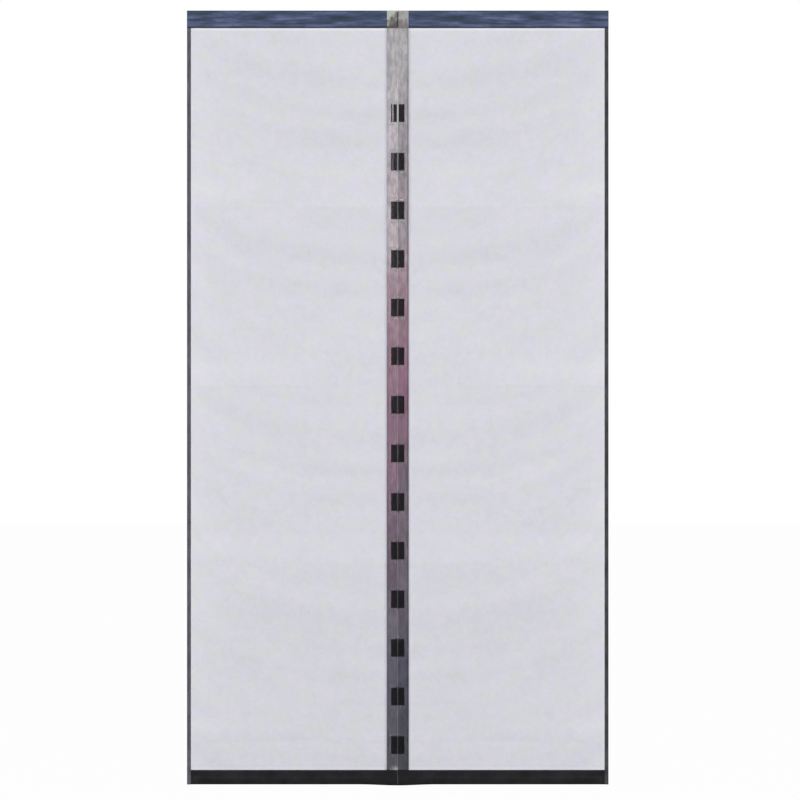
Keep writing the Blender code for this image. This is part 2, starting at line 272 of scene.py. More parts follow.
def feed(tree, node, inputs):
    """Sets sockets of a node, or links them to a socket or to the first output in use of another node."""
    for key, value in inputs.items():
        if isinstance(value, bpy.types.Node):
            value = next(socket for socket in value.outputs if socket.enabled)
        if isinstance(value, bpy.types.NodeSocket):
            tree.links.new(value, node.inputs[key])
        else:
            node.inputs[key].default_value = value


def add(tree, kind, inputs=None, stops=(), **settings):
    """Adds a node with its settings. feed takes its inputs, and stops are a ramp's places and colours."""
    made = tree.nodes.new(kind)
    for name, value in settings.items():
        setattr(made, name, value)
    feed(tree, made, inputs or {})
    for index, (place, shade) in enumerate(stops):
        points = made.color_ramp.elements
        point = points[index] if index < len(points) else points.new(place)
        point.position = place
        point.color = colour(shade)
    return made


def blank_material(name):
    """A material with one Principled shader, and its tree."""
    material = bpy.data.materials.new(name)
    material.use_nodes = True
    tree = material.node_tree
    return material, tree, tree.nodes["Principled BSDF"]


def from_middle(tree, place):
    """A point's coordinates, and its distance from the closing line."""
    split = add(tree, "ShaderNodeSeparateXYZ", {"Vector": place})
    return split, add(tree, "ShaderNodeMath", {0: split.outputs["X"]}, operation="ABSOLUTE")


def frosted_sheet():
    """Calendered frosted film: milky and satin, faintly patchy, with fine creases along its swags."""
    material, tree, shader = blank_material("frosted_film_calendered")
    swag = add(tree, "ShaderNodeUVMap", uv_map="swag")
    flat = add(tree, "ShaderNodeUVMap", uv_map="flat")
    # Broad bands of milkiness follow the swags, one to each fold of the imported film
    streak = add(tree, "ShaderNodeMapping", {"Vector": swag, "Scale": per_metre(333.3, 111.1, 1000)})
    folds = add(tree, "ShaderNodeTexNoise", {"Vector": streak, "Scale": 1.0, "Detail": 5, "Roughness": 0.6})
    patches = add(
        tree, "ShaderNodeTexNoise", {"Vector": flat, "Scale": per_metre(45.45), "Detail": 3, "Roughness": 0.5}
    )
    # Painted fold shade: this mark darkens the sheet in arcs along its swags, and pales it by the side edge
    # and above a crease
    haze = add(tree, "ShaderNodeAttribute", attribute_name="haze").outputs["Fac"]
    level = add(tree, "ShaderNodeMath", {0: folds, 1: 0.5, 2: haze}, operation="MULTIPLY_ADD")
    # Soft crinkles a few centimetres wide cross them
    crinkles = add(
        tree,
        "ShaderNodeTexNoise",
        {"Vector": flat, "Scale": per_metre(23.81), "Detail": 6, "Roughness": 0.68, "Distortion": 1.2},
    )
    crinkled = add(
        tree,
        "ShaderNodeMapRange",
        {"Value": crinkles, "From Min": 0.3, "From Max": 0.7, "To Min": -0.13, "To Max": 0.13},
    )
    blended = add(tree, "ShaderNodeMath", {0: level, 1: crinkled}, operation="ADD")
    tone = add(
        tree,
        "ShaderNodeValToRGB",
        {"Fac": blended},
        stops=[(0.10, "#c9cbd2"), (0.50, "#d7d7de"), (0.90, "#e1e1e6")],
    )
    hue = add(
        tree,
        "ShaderNodeValToRGB",
        {"Fac": patches},
        stops=[(0.38, "#fafcf7"), (0.5, "#fbfbfc"), (0.62, "#fdfbff")],
    )
    mixed = add(tree, "ShaderNodeMix", {"Factor": 1.0, "A": tone, "B": hue}, **MULTIPLIED)
    # Painted highlight: the bead mark pales the sheet along its welded beads and along the right sheet's
    # welded seam
    bead = add(tree, "ShaderNodeAttribute", attribute_name="bead").outputs["Fac"]
    painted_bead_highlight = add(
        tree, "ShaderNodeMix", {"Factor": bead, "A": mixed, "B": colour("#eeedf4")}, data_type="RGBA"
    )
    # Creases are hairlines a few millimetres apart where the film was folded and handled
    fine = add(tree, "ShaderNodeMapping", {"Vector": swag, "Scale": per_metre(71.43, 23.81, 1000)})
    warp = add(tree, "ShaderNodeTexNoise", {"Vector": fine, "Scale": 0.8, "Detail": 3, "Roughness": 0.6})
    cracked = add(
        tree,
        "ShaderNodeTexVoronoi",
        {"Vector": warp.outputs["Color"], "Scale": 6, "Randomness": 1.0},
        feature="DISTANCE_TO_EDGE",
    )
    ridge = add(tree, "ShaderNodeValToRGB", {"Fac": cracked}, stops=[(0.0, "#ffffff"), (0.05, "#000000")])
    grain = add(tree, "ShaderNodeTexNoise", {"Vector": flat, "Scale": per_metre(1.111), "Detail": 2})
    shallow = add(tree, "ShaderNodeBump", {"Height": grain, "Strength": 0.05, "Distance": 0.0004})
    creased = add(
        tree, "ShaderNodeBump", {"Height": ridge, "Strength": 0.22, "Distance": 0.0006, "Normal": shallow}
    )
    feed(
        tree,
        shader,
        {"Base Color": painted_bead_highlight, "Normal": creased, "Roughness": 0.55, "IOR": 1.49, "Specular IOR Level": 0.3},
    )
    return material


def clear_film(name, heights, across):
    """Clear calendered vinyl: see-through and glossy, milky where it is rumpled, with painted highlight along
    its fold and creases and painted shade where it is pressed shut.

    heights are the stops of its tint up the curtain, and across those from the closing line to the sheet,
    with painted shadow beside the sheet's edge.
    """
    material, tree, shader = blank_material(name)
    place = add(tree, "ShaderNodeTexCoord").outputs["Object"]
    split, side = from_middle(tree, place)
    height = add(
        tree,
        "ShaderNodeMapRange",
        {"Value": split.outputs["Z"], "From Min": CAD_BOX[0].z, "From Max": CAD_BOX[1].z},
    )
    # Light passes four faces of film, so each face has the fourth root of the whole tint
    tint = add(tree, "ShaderNodeValToRGB", {"Fac": height}, stops=heights)
    reach = add(tree, "ShaderNodeMath", {0: side, 1: SHEET_IN_U}, operation="DIVIDE")
    # Painted shadow beside the frosted sheet's edge
    edge = add(tree, "ShaderNodeValToRGB", {"Fac": reach}, stops=across)
    toned = add(tree, "ShaderNodeMix", {"Factor": 1.0, "A": tint, "B": edge}, **MULTIPLIED)
    # At the fold light passes two faces and not four, so each is tinted twice
    fold = add(tree, "ShaderNodeMapRange", {"Value": reach, "From Min": 0.014, "From Max": 0.022, **FALLING})
    twice = add(tree, "ShaderNodeMix", {"Factor": fold, "A": toned, "B": toned}, **MULTIPLIED)
    drawn = add(tree, "ShaderNodeMapping", {"Vector": place, "Scale": per_metre(9.09, 16.67, 26.32)})
    clouds = add(tree, "ShaderNodeTexNoise", {"Vector": drawn, "Scale": 1.0, "Detail": 2, "Roughness": 0.5})
    cloudy = add(
        tree,
        "ShaderNodeMapRange",
        {"Value": clouds, "From Min": 0.3, "From Max": 0.7, "To Min": 0.945, "To Max": 1.045},
    )
    # The shut mark is painted shade in the gap between the lower magnets
    shut = add(tree, "ShaderNodeAttribute", attribute_name="shut").outputs["Fac"]
    painted_gap_shade = add(tree, "ShaderNodeMapRange", {"Value": shut, "To Min": 1.0, "To Max": 0.5})
    light = add(tree, "ShaderNodeMath", {0: cloudy, 1: painted_gap_shade}, operation="MULTIPLY")
    varied = add(tree, "ShaderNodeMix", {"Factor": 1.0, "A": twice, "B": light}, **MULTIPLIED)
    # Where the film lies on the frosted sheet it is as clear as it really is
    on_sheet = add(
        tree,
        "ShaderNodeMapRange",
        {"Value": side, "From Min": SHEET_IN_U - 0.0008, "From Max": SHEET_IN_U + 0.0008},
    )
    shade = add(
        tree, "ShaderNodeMix", {"Factor": on_sheet, "A": varied, "B": colour("#fdfdfe")}, data_type="RGBA"
    )
    stretched = add(tree, "ShaderNodeMapping", {"Vector": place, "Scale": per_metre(7.143, 16.67, 22.22)})
    rumple = add(
        tree, "ShaderNodeTexNoise", {"Vector": stretched, "Scale": 1.0, "Detail": 4, "Roughness": 0.6}
    )
    # The rumple mark makes the film milky. The fold mark is painted highlight, and it makes the film pale and
    # less clear in the same way
    worn = add(tree, "ShaderNodeAttribute", attribute_name="rumple").outputs["Fac"]
    turned = add(tree, "ShaderNodeAttribute", attribute_name="fold").outputs["Fac"]
    mask = add(tree, "ShaderNodeValToRGB", {"Fac": rumple}, stops=[(0.44, "#000000"), (0.58, "#ffffff")])
    scuffed = add(tree, "ShaderNodeMath", {0: mask, 1: worn}, operation="MULTIPLY")
    milky = add(tree, "ShaderNodeMath", {0: scuffed, 1: turned}, operation="MAXIMUM")
    body = add(
        tree,
        "ShaderNodeMix",
        {"Factor": milky, "A": colour("#4a474c"), "B": colour("#f2f0f2")},
        data_type="RGBA",
    )
    thin = add(tree, "ShaderNodeMapRange", {"Value": on_sheet, "To Min": 0.06, "To Max": 0.01})
    cover = add(tree, "ShaderNodeMapRange", {"Value": milky, "To Min": thin, "To Max": 0.50})
    soft = add(tree, "ShaderNodeBump", {"Height": rumple, "Strength": 0.35, "Distance": 0.0015})
    feed(
        tree,
        shader,
        {"Base Color": body, "Normal": soft, "Roughness": 0.12, "IOR": 1.53, "Specular IOR Level": 1.0},
    )
    clear = add(tree, "ShaderNodeBsdfTransparent", {"Color": shade})
    both = add(tree, "ShaderNodeMixShader", {0: cover, 1: clear, 2: shader})
    feed(tree, tree.nodes["Material Output"], {"Surface": both})
    return material


def rumpled_film(name, shades):
    """The same film turned over on itself and crumpled, so that it looks milky over the tape behind it.

    shades are its dark, middle and pale colours, dark low down and by the closing line.
    """
    material, tree, shader = blank_material(name)
    place = add(tree, "ShaderNodeTexCoord").outputs["Object"]
    split, side = from_middle(tree, place)
    high = add(
        tree,
        "ShaderNodeMapRange",
        {"Value": split.outputs["Z"], "From Min": BAND_EDGE_Z, "From Max": TOP_Z - 0.008, "To Max": 0.42},
    )
    wide = add(tree, "ShaderNodeMapRange", {"Value": side, "From Max": SEAM_U, "To Max": 0.22})
    slope = add(tree, "ShaderNodeMath", {0: high, 1: wide}, operation="ADD")
    patches = add(
        tree,
        "ShaderNodeTexNoise",
        {"Vector": place, "Scale": per_metre(13.33), "Detail": 3, "Roughness": 0.6},
    )
    level = add(tree, "ShaderNodeMath", {0: patches, 1: 1.1, 2: slope}, operation="MULTIPLY_ADD")
    tone = add(tree, "ShaderNodeValToRGB", {"Fac": level}, stops=zip((0.70, 0.90, 1.12), shades))
    # Painted shadow in the gap where the two tabs meet, a dark line
    painted_gap_shadow = add(
        tree,
        "ShaderNodeMapRange",
        {"Value": side, "From Min": 0.0010, "From Max": 0.0030, "To Min": 0.25, "To Max": 1.0},
    )
    body = add(tree, "ShaderNodeMix", {"Factor": 1.0, "A": tone, "B": painted_gap_shadow}, **MULTIPLIED)
    soft = add(tree, "ShaderNodeBump", {"Height": patches, "Strength": 0.5, "Distance": 0.002})
    feed(
        tree,
        shader,
        {
            "Base Color": body,
            "Normal": soft,
            "Roughness": 0.18,
            "IOR": 1.53,
            "Specular IOR Level": 0.35,
            "Alpha": 0.93,
        },
    )
    return material


def from_lip(tree, half_length):
    """Distance from the nearer lip of a folded strip, from 0 at a lip to 1 at its fold."""
    flat = add(tree, "ShaderNodeUVMap", uv_map="flat")
    along = add(tree, "ShaderNodeSeparateXYZ", {"Vector": flat}).outputs["Y"]
    nearer = add(tree, "ShaderNodeMath", {0: along, 1: half_length}, operation="PINGPONG")
    return add(tree, "ShaderNodeMath", {0: nearer, 1: half_length}, operation="DIVIDE")


def woven(name, shades, rib_mm, patch_mm, border=None):
    """Woven polyester: matt, with ribs of weft over warp, drawn about twice as coarse to show.

    shades are its dark, middle and scuffed colours, in patches of patch_mm. border is the strip's half
    length and the stops that tone it from its lip to its fold, with a dark turned edge that is partly painted
    shadow, stitched rows and painted shade at its fold.
    """
    material, tree, shader = blank_material(name)
    flat = add(tree, "ShaderNodeUVMap", uv_map="flat")
    scale = per_metre(2 * rib_mm) / WAVES_AT_ONE
    ribs = {"Vector": flat, "Scale": scale, "Distortion": 0.6, "Detail": 1, "Detail Scale": 2}
    weft = add(tree, "ShaderNodeTexWave", ribs, bands_direction="X")
    warp = add(tree, "ShaderNodeTexWave", ribs, bands_direction="Y")
    weave = add(tree, "ShaderNodeMath", {0: weft.outputs["Fac"], 1: warp.outputs["Fac"]}, operation="ADD")
    worn = add(tree, "ShaderNodeMapping", {"Vector": flat, "Scale": per_metre(*patch_mm)})
    wide = add(tree, "ShaderNodeTexNoise", {"Vector": worn, "Scale": 1.0, "Detail": 4, "Roughness": 0.65})
    tone = add(tree, "ShaderNodeValToRGB", {"Fac": wide}, stops=zip((0.36, 0.50, 0.66), shades))
    if border:
        half_length, stops = border
        edge = add(tree, "ShaderNodeValToRGB", {"Fac": from_lip(tree, half_length)}, stops=stops)
        tone = add(tree, "ShaderNodeMix", {"Factor": 1.0, "A": tone, "B": edge}, **MULTIPLIED)
    shade = add(tree, "ShaderNodeMapRange", {"Value": weave, "From Max": 2.0, "To Min": 0.78, "To Max": 1.12})
    dark = add(tree, "ShaderNodeMix", {"Factor": 1.0, "A": tone, "B": shade}, **MULTIPLIED)
    bump = add(tree, "ShaderNodeBump", {"Height": weave, "Strength": 0.5, "Distance": 0.0003})
    feed(
        tree,
        shader,
        {
            "Base Color": dark,
            "Normal": bump,
            "Roughness": 0.8,
            "Specular IOR Level": 0.12,
            "Sheen Weight": 0.06,
        },
    )
    return material


def black_vinyl():
    """Embossed black vinyl: satin, with a fine leather grain and soft handling dents."""
    material, tree, shader = blank_material("black_vinyl_embossed")
    flat = add(tree, "ShaderNodeUVMap", uv_map="flat")
    grain = add(
        tree, "ShaderNodeTexVoronoi", {"Vector": flat, "Scale": per_metre(1.923)}, feature="SMOOTH_F1"
    )
    dents = add(
        tree, "ShaderNodeTexNoise", {"Vector": flat, "Scale": per_metre(55.56), "Detail": 3, "Roughness": 0.5}
    )
    tone = add(tree, "ShaderNodeValToRGB", {"Fac": dents}, stops=[(0.35, "#121214"), (0.65, "#212024")])
    # Its turned lip is darker, and its folded lower edge is darkened with painted shade
    edge = add(
        tree,
        "ShaderNodeValToRGB",
        {"Fac": from_lip(tree, HEM_HALF_LENGTH)},
        stops=[(0.02, "#a0a0a0"), (0.09, "#ffffff"), (0.55, "#f0f0f0"), (0.80, "#c8c8c8"), (0.92, "#707070")],
    )
    shade = add(tree, "ShaderNodeMix", {"Factor": 1.0, "A": tone, "B": edge}, **MULTIPLIED)
    # Painted shade where the two hems meet at the closing line
    place = add(tree, "ShaderNodeTexCoord").outputs["Object"]
    side = from_middle(tree, place)[1]
    rolled = add(
        tree,
        "ShaderNodeMapRange",
        {"Value": side, "From Min": 0.0012, "From Max": 0.0034, "To Min": 0.15, "To Max": 1.0},
    )
    hem_gap_shaded = add(tree, "ShaderNodeMix", {"Factor": 1.0, "A": shade, "B": rolled}, **MULTIPLIED)
    gloss = add(tree, "ShaderNodeMapRange", {"Value": dents, "To Min": 0.30, "To Max": 0.46})
    large = add(tree, "ShaderNodeBump", {"Height": dents, "Strength": 0.25, "Distance": 0.006})
    fine = add(
        tree, "ShaderNodeBump", {"Height": grain, "Strength": 0.10, "Distance": 0.0003, "Normal": large}
    )
    feed(
        tree,
        shader,
        {"Base Color": hem_gap_shaded, "Roughness": gloss, "Normal": fine, "IOR": 1.5, "Specular IOR Level": 0.12},
    )
    return material


def ferrite():
    """Pressed and sintered ferrite: near black and faintly granular, with a ground sheen."""
    material, tree, shader = blank_material("ferrite_sintered")
    place = add(tree, "ShaderNodeTexCoord").outputs["Object"]
    grit = add(tree, "ShaderNodeTexNoise", {"Vector": place, "Scale": per_metre(0.7143), "Detail": 3})
    brushed = add(tree, "ShaderNodeMapping", {"Vector": place, "Scale": per_metre(1.111, 1.111, 33.33)})
    ground = add(tree, "ShaderNodeTexNoise", {"Vector": brushed, "Scale": 1.0, "Detail": 3})
    tone = add(tree, "ShaderNodeValToRGB", {"Fac": ground}, stops=[(0.35, "#17171c"), (0.70, "#27272f")])
    bump = add(tree, "ShaderNodeBump", {"Height": grit, "Strength": 0.15, "Distance": 0.0003})
    feed(tree, shader, {"Base Color": tone, "Normal": bump, "Roughness": 0.34, "Specular IOR Level": 0.2})
    return material


def pile(name, base, tip, tuft_mm, rough):
    """Nylon hooks or loops: a dense matt field of short hairs, speckled light and dark."""
    material, tree, shader = blank_material(name)
    place = add(tree, "ShaderNodeTexCoord").outputs["Object"]
    tufts = add(
        tree, "ShaderNodeTexVoronoi", {"Vector": place, "Scale": per_metre(tuft_mm), "Randomness": 0.7}
    )
    felt = add(
        tree,
        "ShaderNodeTexNoise",
        {"Vector": place, "Scale": per_metre(11.11), "Detail": 5, "Roughness": 0.7},
    )
    spots = add(tree, "ShaderNodeMath", {0: tufts, 1: felt}, operation="MULTIPLY")
    tone = add(tree, "ShaderNodeValToRGB", {"Fac": spots}, stops=[(0.08, tip), (0.34, base)])
    bump = add(tree, "ShaderNodeBump", {"Height": tufts, "Strength": 0.6, "Distance": 0.001}, invert=True)
    feed(tree, shader, {"Base Color": tone, "Normal": bump, "Roughness": rough, "Specular IOR Level": 0.25})
    return material


def zinc_plate():
    """Zinc-plated rolled strip: pale grey metal with a dull, brushed gloss."""
    material, tree, shader = blank_material("steel_zinc_plated")
    place = add(tree, "ShaderNodeTexCoord").outputs["Object"]
    rolled = add(tree, "ShaderNodeMapping", {"Vector": place, "Scale": per_metre(83.33, 1.667, 1.667)})
    lines = add(tree, "ShaderNodeTexNoise", {"Vector": rolled, "Scale": 1.0, "Detail": 3})
    gloss = add(tree, "ShaderNodeMapRange", {"Value": lines, "To Min": 0.32, "To Max": 0.5})
    feed(tree, shader, {"Roughness": gloss, "Base Color": colour("#b9bcbf"), "Metallic": 1.0})
    return material


def thread(name, base, dark):
    """Twisted polyester thread: soft sheen, with the dark lines of its twist."""
    material, tree, shader = blank_material(name)
    place = add(tree, "ShaderNodeTexCoord").outputs["Object"]
    twist = add(tree, "ShaderNodeTexNoise", {"Vector": place, "Scale": per_metre(0.8333), "Detail": 2})
    tone = add(tree, "ShaderNodeValToRGB", {"Fac": twist}, stops=[(0.40, dark), (0.60, base)])
    feed(tree, shader, {"Base Color": tone, "Roughness": 0.6, "Specular IOR Level": 0.3, "Sheen Weight": 0.2})
    return material


def smooth(value):
    value = np.clip(value, 0.0, 1.0)
    return value * value * (3 - 2 * value)


def box(node):
    """A node's lowest and highest corner as u, y and z, the same for either leaf."""
    low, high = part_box(f"right_{node}")
    return Vector(low), Vector(high)


SHEET_LOW, SHEET_HIGH = box("sheet")
SLEEVE_LOW, SLEEVE_HIGH = box("magnet_sleeve")
BAND_LOW, BAND_HIGH = box("top_band")
TAB_LOW, TAB_HIGH = box("head_tab")
BINDING_LOW, BINDING_HIGH = box("side_binding")
HEM_HIGH = box("bottom_hem")[1]
WEIGHT_LOW, WEIGHT_HIGH = box("hem_weight")
MAGNETS = [box(f"magnet_{number:02d}") for number in range(1, MAGNET_COUNT + 1)]

SHEET_Y = (MAGNETS[0][0].y + MAGNETS[0][1].y) / 2
SHEET_IN_U = SHEET_LOW.x
SEAM_U = SLEEVE_HIGH.x
TOP_Z, BOTTOM_Z = CAD_BOX[1].z, CAD_BOX[0].z
BAND_EDGE_Z, HEM_EDGE_Z = BAND_LOW.z, HEM_HIGH.z
BAND_HALF_LENGTH = TOP_Z - BAND_EDGE_Z + BAND_TURN
HEM_HALF_LENGTH = HEM_EDGE_Z - BOTTOM_Z


def put(name, mesh, material):
    piece = bpy.data.objects.new(name, mesh)
    bpy.context.scene.collection.objects.link(piece)
    if material is not None:
        mesh.materials.append(material)
    return piece


def grid_faces(rows, columns):
    """Four-sided faces of a grid of points, as rows of point numbers."""
    order = np.arange(rows * columns).reshape(rows, columns)
    corners = [order[:-1, :-1], order[:-1, 1:], order[1:, 1:], order[1:, :-1]]
    return np.stack(corners, axis=-1).reshape(-1, 4)


def wall(name, points, maps, thickness, material, marks=()):
    """A film, cloth or vinyl wall from a grid of points at the middle of its thickness."""
    rows, columns = points.shape[:2]
    quads = grid_faces(rows, columns)
    mesh = bpy.data.meshes.new(name)
    mesh.from_pydata(points.reshape(-1, 3).tolist(), [], quads.tolist())
    for layer, values in maps.items():
        corners = values.reshape(-1, 2)[quads.reshape(-1)]
        mesh.uv_layers.new(name=layer).data.foreach_set("uv", corners.reshape(-1))
    for layer, values in dict(marks).items():
        mesh.attributes.new(layer, "FLOAT", "POINT").data.foreach_set("value", values.reshape(-1))
    mesh.shade_smooth()
    piece = put(name, mesh, material)
    solid = piece.modifiers.new("Wall", "SOLIDIFY")
    solid.thickness = thickness
    solid.offset = 0.0
    solid.use_even_offset = True
    return piece


def sheet_relief(u, z):
    """How far the frosted sheet stands forward, with its swag coordinates along and across the folds."""
    inner, outer = SEAM_U, BINDING_LOW.x
    from_side = np.clip(outer - u, 0, None)
    drop = BAND_EDGE_Z - z
    bay = drop % FOLD_PITCH
    number = np.floor(drop / FOLD_PITCH)
    swag = bay - SWAG_DROP * (1 - np.exp(-from_side / SWAG_REACH))
    edge = np.minimum.reduce([u - inner, outer - u, z - HEM_EDGE_Z, BAND_EDGE_Z - z])
    fade = smooth(edge / BORDER)
    billow = np.sin(math.pi * bay / FOLD_PITCH) ** 2
    folds = np.cos(2 * math.pi * swag / SWAG_PITCH) * np.exp(-((swag / SWAG_SPAN) ** 2))
    nearest = np.minimum(bay, FOLD_PITCH - bay)
    crease = np.exp(-((nearest / CREASE_WIDTH) ** 2))
    relief = fade * (BILLOW * billow + SWAG_HEIGHT * folds - CREASE_DEPTH * crease)
    return relief, np.stack([from_side + number * BAY_STEP[0], swag + number * BAY_STEP[1]], axis=-1)


def sheet_tone_and_fold_shade(u, z):
    """Tone of the sheet: darker arcs of painted fold shade along the swags, paler towards its side edge and
    above a crease.
    """
    from_side = np.clip(BINDING_LOW.x - u, 0, None)
    bay = (BAND_EDGE_Z - z) % FOLD_PITCH
    swag = bay - SWAG_DROP * (1 - np.exp(-from_side / SWAG_REACH))
    inward = smooth(from_side / TONE_FADE)
    level = TONE_LEVEL + SIDE_PALE * np.exp(-((from_side / SIDE_PALE_REACH) ** 2))
    for place, width, depth in SHADE_ARCS:
        arc = depth * np.exp(-(((swag - place) / width) ** 2))
        level = level - arc * (SIDE_ARC + (1 - SIDE_ARC) * inward)
    above_crease = np.exp(-(((FOLD_PITCH - bay - CREASE_PALE_ABOVE) / CREASE_PALE_WIDTH) ** 2))
    return level + CREASE_PALE * above_crease * (1 - inward)


def ripple(points, size, seed):
    """Smooth noise, from about -1 to 1, at each point of a grid. size is the ripples' width."""
    flat = points.reshape(-1, 3) / size + seed
    return np.array([noise.noise(Vector(p)) for p in flat]).reshape(points.shape[:2])


def make_sheet(name, side, material):
    """Frosted sheet with billows, swags, packing creases and a welded bead along its side, top and bottom
    borders.
    """
    columns = np.linspace(SHEET_IN_U, SHEET_HIGH.x, SHEET_GRID[0])
    rows = np.linspace(SHEET_HIGH.z, SHEET_LOW.z, SHEET_GRID[1])
    u, z = np.meshgrid(columns, rows)
    relief, swag = sheet_relief(u, z)
    spot = np.stack([side * u, np.zeros_like(u), z], axis=-1)
    edge = np.minimum.reduce([BINDING_LOW.x - u, z - HEM_EDGE_Z, BAND_EDGE_Z - z])
    fade = smooth(np.minimum(edge, u - SEAM_U) / BORDER)
    relief = relief + fade * sum(height * ripple(spot, width, seed) for height, width, seed in SHEET_RIPPLES)
    bead = np.exp(-(((edge - WELD_BEAD_IN) / WELD_BEAD_HALF) ** 2))
    pressed = smooth((SEAM_HIGHLIGHT_TOP - z) / SEAM_HIGHLIGHT_FADE)
    across = (u - SHEET_IN_U - SEAM_HIGHLIGHT_IN) / SEAM_HIGHLIGHT_HALF
    seam = np.exp(-(across**2)) * pressed * SEAM_HIGHLIGHT[name]
    relief = relief + WELD_BEAD * bead
    points = np.stack([side * u, SHEET_Y - relief, z], axis=-1)
    maps = {"flat": np.stack([u, z], axis=-1), "swag": swag}
    # The bead mark is painted highlight along the beads
    marks = {"bead": np.maximum(bead * 0.7, seam), "haze": sheet_tone_and_fold_shade(u, z)}
    return wall(name, points, maps, SHEET_WALL, material, marks)


def blank_tree(name, sizes, finish):
    """A node tree whose inputs are a geometry, sizes and a material, and the sockets that give them."""
    tree = bpy.data.node_groups.new(name, "GeometryNodeTree")
    tree.interface.new_socket("Geometry", in_out="INPUT", socket_type="NodeSocketGeometry")
    for label, value in sizes.items():
        tree.interface.new_socket(label, in_out="INPUT", socket_type="NodeSocketFloat").default_value = value
    tree.interface.new_socket(finish, in_out="INPUT", socket_type="NodeSocketMaterial")
    tree.interface.new_socket("Geometry", in_out="OUTPUT", socket_type="NodeSocketGeometry")
    return tree, tree.nodes.new("NodeGroupInput").outputs


def closed_tree(tree, geometry, material):
    """The tree, with the geometry made real, given its material and put out."""
    real = add(tree, "GeometryNodeRealizeInstances", {"Geometry": geometry})
    dressed = add(tree, "GeometryNodeSetMaterial", {"Geometry": real, "Material": material})
    feed(tree, tree.nodes.new("NodeGroupOutput"), {0: dressed})
    return tree


